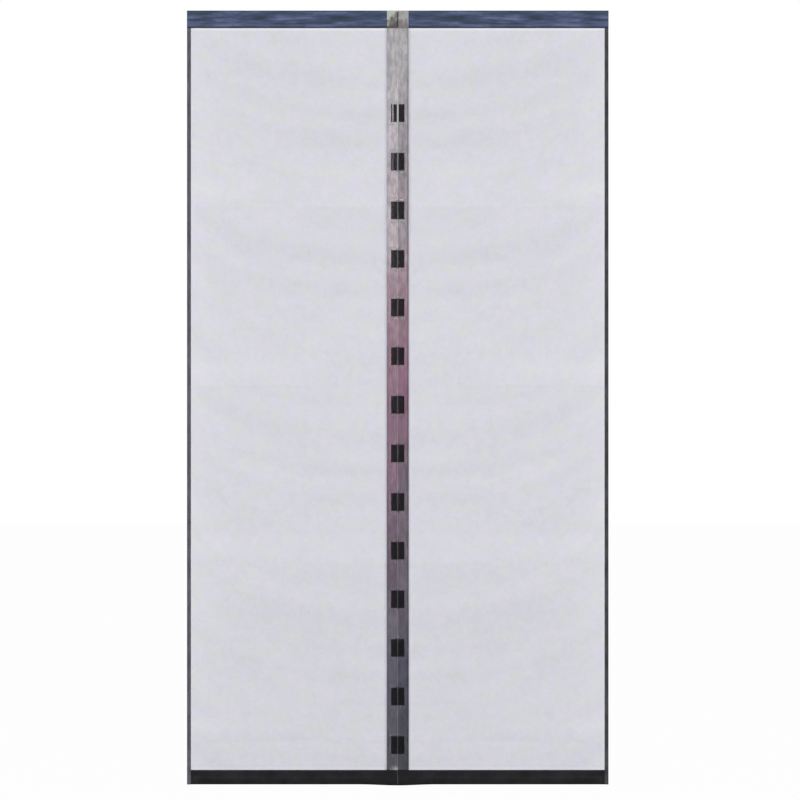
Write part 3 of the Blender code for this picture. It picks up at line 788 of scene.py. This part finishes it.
def build_sleeve_tree():
    """Node tree that turns a flat grid into a folded film with a pocket round each magnet."""
    sizes = {
        "Side": 1.0,
        "Fold": 0.001,
        "Seam": 0.038,
        "Flat Half": 0.0007,
        "Pocket Half": 0.003,
        "Pocket End": 0.02,
        "Flank": 0.004,
        "First Magnet": -0.3,
        "Pitch": 0.138,
        "Count": 14.0,
        "Pocket Length": 0.05,
        "Rumple": 0.0003,
        "Crease": 0.0,
        "Crease Reach": 0.016,
    }
    tree, given = blank_tree("magnet_sleeve", sizes, "Film")
    start = add(tree, "GeometryNodeInputPosition")
    place = add(tree, "ShaderNodeSeparateXYZ", {0: start})
    round_line, z = place.outputs["X"], place.outputs["Z"]
    # The grid runs from -1 to 1 round the closing line, closer together near it
    size = add(tree, "ShaderNodeMath", {0: round_line}, operation="ABSOLUTE")
    reach = add(tree, "ShaderNodeMath", {0: size, 1: FOLD_CROWDING}, operation="POWER")
    width = add(tree, "ShaderNodeMath", {0: given["Seam"], 1: given["Fold"]}, operation="SUBTRACT")
    u = add(tree, "ShaderNodeMath", {0: reach, 1: width, 2: given["Fold"]}, operation="MULTIPLY_ADD")
    # Distance to the nearest magnet's middle, past half its length
    drop = add(tree, "ShaderNodeMath", {0: given["First Magnet"], 1: z}, operation="SUBTRACT")
    step = add(tree, "ShaderNodeMath", {0: drop, 1: given["Pitch"]}, operation="DIVIDE")
    whole = add(tree, "ShaderNodeMath", {0: step}, operation="ROUND")
    last = add(tree, "ShaderNodeMath", {0: given["Count"], 1: 1.0}, operation="SUBTRACT")
    number = add(tree, "ShaderNodeClamp", {"Value": whole, "Min": 0.0, "Max": last})
    miss = add(tree, "ShaderNodeMath", {0: step, 1: number}, operation="SUBTRACT")
    off = add(tree, "ShaderNodeMath", {0: miss}, operation="ABSOLUTE")
    half_magnet = add(tree, "ShaderNodeMath", {0: given["Pocket Length"], 1: 0.5}, operation="MULTIPLY")
    away = add(tree, "ShaderNodeMath", {0: off, 1: given["Pitch"]}, operation="MULTIPLY")
    beyond = add(tree, "ShaderNodeMath", {0: away, 1: half_magnet}, operation="SUBTRACT")
    along = add(
        tree,
        "ShaderNodeMapRange",
        {"Value": beyond, "From Min": 0.0, "From Max": given["Flank"], **FALLING},
        **EASED,
    )
    outside = add(tree, "ShaderNodeMath", {0: u, 1: given["Pocket End"]}, operation="SUBTRACT")
    across = add(
        tree, "ShaderNodeMapRange", {"Value": outside, "From Max": given["Flank"], **FALLING}, **EASED
    )
    swell = add(tree, "ShaderNodeMath", {0: along, 1: across}, operation="MULTIPLY")
    extra = add(
        tree, "ShaderNodeMath", {0: given["Pocket Half"], 1: given["Flat Half"]}, operation="SUBTRACT"
    )
    half = add(tree, "ShaderNodeMath", {0: swell, 1: extra, 2: given["Flat Half"]}, operation="MULTIPLY_ADD")
    # The film turns round the closing line as a half circle of its own half depth
    from_fold = add(tree, "ShaderNodeMath", {0: u, 1: given["Fold"]}, operation="SUBTRACT")
    nose = add(tree, "ShaderNodeMath", {0: from_fold, 1: half}, operation="DIVIDE")
    bound = add(tree, "ShaderNodeMath", {0: nose, 1: 1.0}, operation="MINIMUM")
    short = add(tree, "ShaderNodeMath", {0: 1.0, 1: bound}, operation="SUBTRACT")
    square = add(tree, "ShaderNodeMath", {0: short, 1: 2.0}, operation="POWER")
    left = add(tree, "ShaderNodeMath", {0: 1.0, 1: square}, operation="SUBTRACT")
    rounded = add(tree, "ShaderNodeMath", {0: left}, operation="SQRT")
    depth = add(tree, "ShaderNodeMath", {0: half, 1: rounded}, operation="MULTIPLY")
    crumple = add(tree, "ShaderNodeTexNoise", {"Vector": start, "Scale": RUMPLES_TO_METRE, "Detail": 2.0})
    loose = add(tree, "ShaderNodeMath", {0: crumple, 1: 0.5}, operation="SUBTRACT")
    puffed = add(tree, "ShaderNodeMath", {0: loose, 1: given["Rumple"], 2: depth}, operation="MULTIPLY_ADD")
    front = add(tree, "ShaderNodeMath", {0: round_line}, operation="SIGN")
    outward = add(tree, "ShaderNodeMath", {0: puffed, 1: front}, operation="MULTIPLY")
    x = add(tree, "ShaderNodeMath", {0: u, 1: given["Side"]}, operation="MULTIPLY")
    y = add(tree, "ShaderNodeMath", {0: SHEET_Y, 1: outward}, operation="SUBTRACT")
    spot = add(tree, "ShaderNodeCombineXYZ", {"X": x, "Y": y, "Z": z})
    # Rumpled where the film is drawn in over the ends of a magnet
    past_end = add(tree, "ShaderNodeMath", {0: beyond, 1: DRAWN_IN_PAST}, operation="SUBTRACT")
    near_end = add(tree, "ShaderNodeMath", {0: past_end}, operation="ABSOLUTE")
    pinch = add(
        tree, "ShaderNodeMapRange", {"Value": near_end, "From Max": 0.006, "To Min": 0.9, "To Max": 0.0}
    )
    rank = add(tree, "ShaderNodeMath", {0: number, 1: last}, operation="DIVIDE")
    tugged = add(
        tree,
        "ShaderNodeMapRange",
        {"Value": rank, "From Min": 0.28, "From Max": 0.40, "To Min": 1.0, "To Max": 0.35},
    )
    drawn = add(tree, "ShaderNodeMath", {0: pinch, 1: tugged}, operation="MULTIPLY")
    worn = add(tree, "ShaderNodeMath", {0: drawn, 1: across}, operation="MULTIPLY")
    # Painted highlight along its fold where it is bent round a magnet, and along a crease line over the left
    # magnets, most at the upper ones
    glint_by_magnet = add(tree, "ShaderNodeFloatCurve", {"Value": rank})
    curve = glint_by_magnet.mapping.curves[0]
    curve.points[0].location = GLINT_TOP
    curve.points[1].location = GLINT_FOOT
    for share, level in GLINT_BETWEEN:
        curve.points.new(share, level)
    glint_by_magnet.mapping.update()
    near_fold = add(
        tree,
        "ShaderNodeMapRange",
        {"Value": from_fold, "From Min": 0.0014, "From Max": 0.0030, **FALLING},
        **EASED,
    )
    from_crease = add(tree, "ShaderNodeMath", {0: u, 1: given["Crease Reach"]}, operation="SUBTRACT")
    by_crease = add(tree, "ShaderNodeMath", {0: from_crease}, operation="ABSOLUTE")
    creased = add(
        tree,
        "ShaderNodeMapRange",
        {
            "Value": by_crease,
            "From Min": 0.0006,
            "From Max": 0.0024,
            "To Min": given["Crease"],
            "To Max": 0.0,
        },
    )
    edges = add(tree, "ShaderNodeMath", {0: near_fold, 1: creased}, operation="MAXIMUM")
    bent = add(tree, "ShaderNodeMath", {0: edges, 1: along}, operation="MULTIPLY")
    painted_fold_glint = add(tree, "ShaderNodeMath", {0: bent, 1: glint_by_magnet}, operation="MULTIPLY")
    # Painted glint where the foot of the left film kinks over the hem's lip
    foot = add(
        tree,
        "ShaderNodeMapRange",
        {
            "Value": z,
            "From Min": HEM_EDGE_Z + 0.004,
            "From Max": HEM_EDGE_Z + 0.016,
            "To Min": given["Crease"],
            "To Max": 0.0,
        },
    )
    inner = add(
        tree,
        "ShaderNodeMapRange",
        {"Value": u, "From Min": 0.006, "From Max": 0.026, "To Min": 1.0, "To Max": 0.1},
    )
    painted_foot_glint = add(tree, "ShaderNodeMath", {0: foot, 1: inner}, operation="MULTIPLY")
    painted_glints = add(tree, "ShaderNodeMath", {0: painted_fold_glint, 1: painted_foot_glint}, operation="MAXIMUM")
    # Painted shade: lower down, where the film is pressed shut between the two magnets, its fold is darkened
    gap_shade_place = add(tree, "ShaderNodeMath", {0: near_fold, 1: along}, operation="MULTIPLY")
    lower = add(tree, "ShaderNodeMath", {0: 1.0, 1: glint_by_magnet}, operation="SUBTRACT")
    pressed = add(tree, "ShaderNodeMath", {0: gap_shade_place, 1: lower}, operation="MULTIPLY")
    shaped = given["Geometry"]
    for label, level in (("rumple", worn), ("fold", painted_glints), ("shut", pressed)):
        shaped = add(
            tree,
            "GeometryNodeStoreNamedAttribute",
            {"Geometry": shaped, "Name": label, "Value": level},
            data_type="FLOAT",
            domain="POINT",
        )
    moved = add(tree, "GeometryNodeSetPosition", {"Geometry": shaped, "Position": spot})
    return closed_tree(tree, moved, given["Film"])


def grow(name, seed_mesh, tree, inputs, material):
    """Runs a node tree on a mesh and returns the result as a plain mesh object."""
    seed = put(f"{name}_seed", seed_mesh, None)
    modifier = seed.modifiers.new("Rule", "NODES")
    modifier.node_group = tree
    sockets = {item.name: item.identifier for item in tree.interface.items_tree if item.in_out == "INPUT"}
    for key, value in inputs.items():
        modifier[sockets[key]] = value
    ready = seed.evaluated_get(bpy.context.evaluated_depsgraph_get())
    mesh = bpy.data.meshes.new_from_object(ready)
    mesh.name = name
    bpy.data.objects.remove(seed)
    if not mesh.materials:
        mesh.materials.append(material)
    mesh.shade_smooth()
    return put(name, mesh, None)


def flat_grid(name, across, rows):
    """A grid in the XZ plane, with X from -1 to 1 across and Z at each row."""
    columns = np.linspace(-1, 1, across)
    points = [(x, 0.0, z) for z in rows for x in columns]
    mesh = bpy.data.meshes.new(name)
    mesh.from_pydata(points, [], grid_faces(len(rows), across).tolist())
    return mesh


def make_sleeve(name, side, tree, material):
    """Magnet sleeve of clear film, folded along the closing line."""
    rows = np.linspace(SLEEVE_HIGH.z, SLEEVE_LOW.z, SLEEVE_GRID[1])
    first, second = MAGNETS[0], MAGNETS[1]
    middle = (first[0].z + first[1].z) / 2
    pitch = first[0].z - second[0].z
    length = first[1].z - first[0].z
    half = (first[1].y - first[0].y) / 2
    inputs = {
        "Side": float(side),
        "Fold": CLOSING_GAP + FILM_WALL / 2,
        "Seam": SEAM_U - FILM_WALL / 2,
        "Flat Half": SHEET_WALL / 2 + SEAT + FILM_WALL / 2,
        "Pocket Half": half + SEAT + FILM_WALL / 2,
        "Pocket End": first[1].x + SEAT,
        "Flank": POCKET_FLANK,
        "First Magnet": middle,
        "Pitch": pitch,
        "Count": float(MAGNET_COUNT),
        "Pocket Length": length + 2 * SEAT,
        "Rumple": RUMPLE,
        "Crease": MAGNET_GLINT_STRIPE[name],
        "Crease Reach": GLINT_STRIPE_REACH,
        "Film": material,
    }
    piece = grow(name, flat_grid(name, SLEEVE_GRID[0], rows), tree, inputs, material)
    solid = piece.modifiers.new("Wall", "SOLIDIFY")
    solid.thickness = FILM_WALL
    solid.offset = 0.0
    return piece


def folded_line(lip, half, flat_steps, turn_steps, thickness):
    """Middle line of a strip folded over an edge, as arrays of the reach from the edge and the depth."""
    centre = half + thickness / 2
    front = np.linspace(lip, centre, flat_steps)
    turn = np.linspace(0, math.pi, turn_steps)[1:-1]
    reach = np.concatenate([front, centre - half * np.sin(turn), front[::-1]])
    depth = np.concatenate([np.full(flat_steps, half), half * np.cos(turn), np.full(flat_steps, -half)])
    return reach, depth


def running_length(reach, depth):
    """Distance along a folded line from its first point, for a map in metres."""
    steps = np.hypot(np.diff(reach), np.diff(depth))
    return np.concatenate([[0], np.cumsum(steps)])


def make_band(name, side, material):
    """Woven band folded over the top of the sheet, drawn in at its stitch rows."""
    half = (BAND_HIGH.y - BAND_LOW.y) / 2 - BAND_WALL / 2
    lip = TOP_Z - BAND_EDGE_Z
    reach, depth = folded_line(lip, half, *BAND_GRID[:2], BAND_WALL)
    stations = np.linspace(BAND_LOW.x, BAND_HIGH.x, BAND_GRID[2])
    r, u = np.meshgrid(reach, stations)
    d = np.broadcast_to(depth, r.shape)
    inside = SHEET_WALL / 2 + SEAT + BAND_WALL / 2
    shut = smooth(np.minimum(u - SEAM_U - SEAT, BINDING_LOW.x - SEAT - u) / BAND_END_RAMP)
    pinched = np.clip((r - lip + LIP_RAMP) / LIP_RAMP, 0, 1) * shut
    firm = np.sign(d) * (np.abs(d) - (half - inside) * pinched)
    spot = np.stack([side * u, d * BAND_FACES_APART, r], axis=-1)
    wave = BAND_WAVE * ripple(spot, BAND_WAVE_WIDTH, BAND_WAVE_PLACE)
    firm = firm + wave * np.clip(r / 0.01, 0, 1) * (1 - pinched)
    for row in BAND_STITCH_ROWS:
        pull = STITCH_PULL * np.exp(-(((r - row) / STITCH_PULL_HALF) ** 2))
        firm = firm - np.sign(d) * pull * (1 - pinched)
    points = np.stack([side * u, SHEET_Y - firm, TOP_Z - r], axis=-1)
    length = np.broadcast_to(running_length(reach, depth), r.shape)
    return wall(name, points, {"flat": np.stack([u, length], axis=-1)}, BAND_WALL, material)


def make_tab(name, side, material):
    """Rumpled clear film turned over the top of the sleeve, between the two bands."""
    half = (TAB_HIGH.y - TAB_LOW.y) / 2 - TAB_WALL / 2
    reach, depth = folded_line(TOP_Z - TAB_LOW.z, half, *TAB_GRID[:2], TAB_WALL)
    stations = np.linspace(TAB_LOW.x, TAB_HIGH.x, TAB_GRID[2])
    r, u = np.meshgrid(reach, stations)
    d = np.broadcast_to(depth, r.shape)
    spot = np.stack([side * u, d * TAB_FACES_APART, r], axis=-1)
    crumple = TAB_CRUMPLE * ripple(spot, TAB_CRUMPLE_WIDTH, TAB_CRUMPLE_PLACE)
    firm = d + np.sign(d) * crumple * np.clip(r / LIP_RAMP, 0, 1)
    points = np.stack([side * u, SHEET_Y - firm, TOP_Z - r], axis=-1)
    length = np.broadcast_to(running_length(reach, depth), r.shape)
    return wall(name, points, {"flat": np.stack([u, length], axis=-1)}, TAB_WALL, material)


def make_binding(name, side, material):
    """Ribbed tape folded over the side edge, under the band and over the hem."""
    over_sheet = SHEET_WALL / 2 + SEAT + BINDING_WALL / 2
    over_hem = (BINDING_HIGH.y - BINDING_LOW.y) / 2 - BINDING_WALL / 2
    stations = np.linspace(BINDING_HIGH.z, BINDING_LOW.z, BINDING_GRID[2])
    lip = BINDING_HIGH.x - BINDING_LOW.x
    points, maps = [], []
    for z in stations:
        share = float(smooth((HEM_EDGE_Z + BINDING_RISE_ABOVE - z) / BINDING_RISE))
        half = over_sheet + (over_hem - over_sheet) * share
        reach, depth = folded_line(lip, half, *BINDING_GRID[:2], BINDING_WALL)
        spot = (side * BINDING_SIDES_APART, 0.5, z * BINDING_WAVES_TO_METRE)
        wave = BINDING_WAVE * noise.noise(Vector(spot))
        length = running_length(reach, depth)
        points.append([(side * (BINDING_HIGH.x - r), SHEET_Y - d - wave, z) for r, d in zip(reach, depth)])
        maps.append([(v, z) for v in length])
    return wall(name, np.array(points), {"flat": np.array(maps)}, BINDING_WALL, material)


def make_hem(name, side, material):
    """Vinyl folded over the bottom edge, swelling round the weight and hanging a little lower at the closing
    line.
    """
    flat = SHEET_WALL / 2 + SEAT + VINYL_WALL / 2
    over_sleeve = flat + SEAT + FILM_WALL
    swollen = (WEIGHT_HIGH.y - WEIGHT_LOW.y) / 2 + SEAT + VINYL_WALL / 2
    points, maps = [], []
    for u in np.linspace(CLOSING_GAP, HEM_HIGH.x, HEM_GRID[2]):
        dip = HEM_DIP * float(smooth(u / HEM_DIP_LENGTH))
        edge_z = BOTTOM_Z + dip
        base = flat + (over_sleeve - flat) * float(smooth((SEAM_U + SEAT + SLEEVE_RAMP - u) / SLEEVE_RAMP))
        near = min(u - WEIGHT_LOW.x + WEIGHT_CLEAR, WEIGHT_HIGH.x + WEIGHT_CLEAR - u)
        swell = base + (max(swollen, base) - base) * float(smooth(near / WEIGHT_RAMP))
        reach = folded_line(HEM_EDGE_Z - edge_z, swell, *HEM_GRID[:2], VINYL_WALL)[0]
        unit = folded_line(HEM_EDGE_Z - edge_z, 1.0, *HEM_GRID[:2], VINYL_WALL)[1]
        above = (reach + edge_z - WEIGHT_HIGH.z - SEAT) / WEIGHT_TOP_RAMP
        half = base + (swell - base) * (1 - smooth(above))
        depth = unit * half
        length = running_length(reach, depth)
        row = []
        for r, d in zip(reach, depth):
            spot = (side * u * HEM_DENTS_TO_METRE, d * HEM_FACES_APART, r * HEM_DENTS_TO_METRE)
            dent = HEM_DENT * noise.noise(Vector(spot))
            row.append((side * u, SHEET_Y - d - dent * np.sign(d), edge_z + r))
        points.append(row)
        maps.append([(u, v) for v in length])
    return wall(name, np.array(points), {"flat": np.array(maps)}, VINYL_WALL, material)


def build_stitch_tree():
    """Node tree that lays lock stitches along the edges of a mesh."""
    sizes = {"Pitch": 0.0036, "Stitch Length": 0.0027, "Thread Radius": 0.0003}
    tree, given = blank_tree("lock_stitches", sizes, "Thread")
    path = add(tree, "GeometryNodeMeshToCurve", {"Mesh": given["Geometry"]})
    spaced = add(tree, "GeometryNodeResampleCurve", {"Curve": path, "Length": given["Pitch"]}, mode="LENGTH")
    bead = add(
        tree,
        "GeometryNodeMeshUVSphere",
        {"Segments": STITCH_SEGMENTS, "Rings": STITCH_RINGS, "Radius": given["Thread Radius"]},
    )
    ratio = add(
        tree, "ShaderNodeMath", {0: given["Stitch Length"], 1: given["Thread Radius"]}, operation="DIVIDE"
    )
    longer = add(tree, "ShaderNodeMath", {0: ratio, 1: 0.5}, operation="MULTIPLY")
    stretch = add(tree, "ShaderNodeCombineXYZ", {"X": 1.0, "Y": 1.0, "Z": longer})
    tangent = add(tree, "GeometryNodeInputTangent")
    turn = add(tree, "FunctionNodeAlignRotationToVector", {"Vector": tangent}, axis="Z")
    laid = add(
        tree,
        "GeometryNodeInstanceOnPoints",
        {"Points": spaced, "Instance": bead, "Rotation": turn, "Scale": stretch},
    )
    return closed_tree(tree, laid, given["Thread"])


def make_stitches(name, paths, tree, material):
    """Lock stitches along each path, a list of points just under the cloth's face."""
    points, edges = [], []
    for path in paths:
        edges += [(len(points) + i, len(points) + i + 1) for i in range(len(path) - 1)]
        points += path
    mesh = bpy.data.meshes.new(name)
    mesh.from_pydata(points, edges, [])
    return grow(name, mesh, tree, {"Thread": material}, material)


def seam_line(side, depth, start, end):
    """A straight path at one depth between two places, each given as u and z."""
    return [(side * u, SHEET_Y - depth, z) for u, z in (start, end)]


def band_paths(side):
    half = (BAND_HIGH.y - BAND_LOW.y) / 2
    start, end = BAND_LOW.x + ROW_END, BAND_HIGH.x - ROW_END
    return [
        seam_line(side, face * half, (start, TOP_Z - row), (end, TOP_Z - row))
        for face in (1, -1)
        for row in BAND_STITCH_ROWS
    ]


def binding_paths(side):
    half = SHEET_WALL / 2 + SEAT + BINDING_WALL
    u = BINDING_LOW.x + BINDING_STITCH_IN
    top, bottom = BAND_EDGE_Z - ROW_END, HEM_EDGE_Z + ROW_ABOVE_HEM
    return [seam_line(side, face * half, (u, top), (u, bottom)) for face in (1, -1)]


def hem_paths(side):
    half = SHEET_WALL / 2 + SEAT + VINYL_WALL
    z = HEM_EDGE_Z - HEM_STITCH_IN
    start, end = SEAM_U + ROW_FROM_SEAM, BINDING_LOW.x - ROW_FROM_BINDING
    return [seam_line(side, face * half, (start, z), (end, z)) for face in (1, -1)]


def finish_piece(piece, slot, *nodes):
    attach(piece, "root")
    if nodes:
        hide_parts(*nodes)
    return piece


def paint(node, material):
    """Gives a CAD node its finish."""
    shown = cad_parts[node]
    for place in shown.material_slots:
        place.material = material
    if not shown.material_slots:
        shown.data.materials.append(material)


def make_leaf(name, side, materials, trees):
    sheet = make_sheet(f"{name}_frosted_sheet", side, materials["sheet"])
    sleeve = make_sleeve(f"{name}_clear_sleeve", side, trees["sleeve"], materials[f"{name}_film"])
    tab = make_tab(f"{name}_clear_head_tab", side, materials[f"{name}_tab"])
    band = make_band(f"{name}_woven_band", side, materials["band"])
    binding = make_binding(f"{name}_edge_binding", side, materials[f"{name}_binding"])
    hem = make_hem(f"{name}_vinyl_hem", side, materials["vinyl"])
    finish_piece(sheet, "frosted_film", f"{name}_sheet")
    finish_piece(sleeve, "clear_film", f"{name}_magnet_sleeve")
    finish_piece(tab, "clear_film", f"{name}_head_tab")
    finish_piece(band, "navy_band", f"{name}_top_band")
    finish_piece(binding, "grey_binding", f"{name}_side_binding")
    finish_piece(hem, "black_vinyl", f"{name}_bottom_hem")
    for label, paths, thread_name, slot in (
        ("band", band_paths(side), "slate_thread", "navy_band"),
        ("binding", binding_paths(side), "grey_thread", "grey_binding"),
        ("hem", hem_paths(side), "black_thread", "black_vinyl"),
    ):
        seam = make_stitches(f"{name}_{label}_stitches", paths, trees["stitch"], materials[thread_name])
        finish_piece(seam, slot)
    for number in range(1, MAGNET_COUNT + 1):
        paint(f"{name}_magnet_{number:02d}", materials["ferrite"])
    paint(f"{name}_hem_weight", materials["zinc"])
    paint(f"{name}_loop_tape", materials["loop"])


def place_camera():
    """Straight on, from where the photograph's frame fits the object's width."""
    scale = (CAD_BOX[1].x - CAD_BOX[0].x) / PHOTO_WIDTH
    distance = PHOTO_SIZE * scale * LENS / SENSOR
    centre = (CAD_BOX[0] + CAD_BOX[1]) / 2
    right = (PHOTO_SIZE / 2 - PHOTO_CENTRE[0]) * scale
    down = (PHOTO_SIZE / 2 - PHOTO_CENTRE[1]) * scale
    data = bpy.data.cameras.new("camera")
    data.lens = LENS
    data.sensor_width = SENSOR
    data.clip_end = 100
    camera = bpy.data.objects.new("camera", data)
    camera.location = (centre.x + right, SHEET_Y - distance, centre.z - down)
    camera.rotation_euler = (math.pi / 2, 0, 0)
    bpy.context.scene.collection.objects.link(camera)
    bpy.context.scene.camera = camera


def place_light(name, place, aim, size, power):
    """A soft box that points at aim. size is its width and height."""
    data = bpy.data.lights.new(name, "AREA")
    data.shape = "RECTANGLE"
    data.size, data.size_y = size
    data.energy = power
    light = bpy.data.objects.new(name, data)
    light.location = place
    light.rotation_euler = (Vector(aim) - Vector(place)).to_track_quat("-Z", "Y").to_euler()
    bpy.context.scene.collection.objects.link(light)


def show_white(tree, lit, strength):
    """Mixes white into a shader for rays from the camera, from glossy faces and through clear ones."""
    path = add(tree, "ShaderNodeLightPath")
    mirrored = add(
        tree,
        "ShaderNodeMath",
        {0: path.outputs["Is Camera Ray"], 1: path.outputs["Is Glossy Ray"]},
        operation="MAXIMUM",
    )
    seen = add(
        tree, "ShaderNodeMath", {0: mirrored, 1: path.outputs["Is Transmission Ray"]}, operation="MAXIMUM"
    )
    share = add(tree, "ShaderNodeMath", {0: seen, 1: strength}, operation="MULTIPLY")
    white = add(tree, "ShaderNodeEmission", {"Color": colour("#ffffff"), "Strength": 1.0})
    return add(tree, "ShaderNodeMixShader", {0: share, 1: lit, 2: white})


def place_studio():
    """Pale floor just below the hem, a surround seen as white and softly lit, and lamps in front."""
    middle = (TOP_Z + BOTTOM_Z) / 2
    world = bpy.data.worlds.new("studio")
    world.use_nodes = True
    bpy.context.scene.world = world
    tree = world.node_tree
    sky = add(tree, "ShaderNodeBackground", {"Color": colour("#ffffff"), "Strength": SKY_LIGHT})
    shown = show_white(tree, sky, 1.0)
    feed(tree, tree.nodes["World Output"], {"Surface": shown})

    material, tree, shader = blank_material("studio_floor")
    feed(tree, shader, {"Base Color": colour("#f4f4f4"), "Roughness": 0.9, "Specular IOR Level": 0.0})
    shown = show_white(tree, shader, FLOOR_WHITE)
    feed(tree, tree.nodes["Material Output"], {"Surface": shown})
    mesh = bpy.data.meshes.new("floor")
    floor_z = BOTTOM_Z - FLOOR_DROP
    corners = [(x * FLOOR_REACH, y * FLOOR_REACH, floor_z) for x, y in ((-1, -1), (1, -1), (1, 1), (-1, 1))]
    mesh.from_pydata(corners, [], [(0, 1, 2, 3)])
    put("floor", mesh, material)

    for side in SIDES.values():
        key_place = (side * KEY_OUT, -KEY_BACK, middle - KEY_DROP)
        place_light(f"key_{side}", key_place, (0, 0, middle), KEY_SIZE, KEY_WATTS)
        strip_place = (side * STRIP_OUT, -STRIP_BACK, TOP_Z + STRIP_RISE)
        strip_aim = (0, 0, strip_place[2] - STRIP_AIM_DROP)
        place_light(f"strip_{side}", strip_place, strip_aim, STRIP_SIZE, STRIP_WATTS)


def main():
    band_border = (BAND_HALF_LENGTH, BAND_TONE_AND_SHADE)
    materials = {
        "sheet": frosted_sheet(),
        "left_film": clear_film("clear_vinyl_left", LEFT_TINT, LEFT_EDGE_SHADE),
        "right_film": clear_film("clear_vinyl_right", RIGHT_TINT, RIGHT_EDGE_SHADE),
        "left_tab": rumpled_film("clear_vinyl_rumpled_left", ("#514e47", "#83827c", "#b4b8ae")),
        "right_tab": rumpled_film("clear_vinyl_rumpled_right", ("#7a7678", "#908f92", "#a3a4a5")),
        "band": woven("navy_polyester_woven", BAND_SHADES, BAND_RIB_MM, BAND_PATCH_MM, band_border),
        "left_binding": woven("grey_binding_left_lit_woven", LEFT_BINDING_LIT, BINDING_RIB_MM, BINDING_PATCH_MM),
        "right_binding": woven("grey_binding_right_shaded_woven", RIGHT_BINDING_SHADED, BINDING_RIB_MM, BINDING_PATCH_MM),
        "vinyl": black_vinyl(),
        "ferrite": ferrite(),
        "zinc": zinc_plate(),
        "loop": pile("loop_nylon_napped", "#b5b4aa", "#e6e6de", 1.4286, 0.9),
        "hook": pile("hook_nylon_moulded", "#b9b6ae", "#d8d6cf", 2.0, 0.55),
        "slate_thread": thread("slate_thread_twisted", "#7d8498", "#565d72"),
        "grey_thread": thread("grey_thread_twisted", "#4a4850", "#2f2d34"),
        "black_thread": thread("black_thread_twisted", "#2a2a2d", "#141416"),
    }
    trees = {"sleeve": build_sleeve_tree(), "stitch": build_stitch_tree()}
    for name, side in SIDES.items():
        make_leaf(name, side, materials, trees)
    paint("door_hook_tape", materials["hook"])
    place_camera()
    place_studio()
    bpy.context.scene.view_settings.view_transform = "Standard"


main()
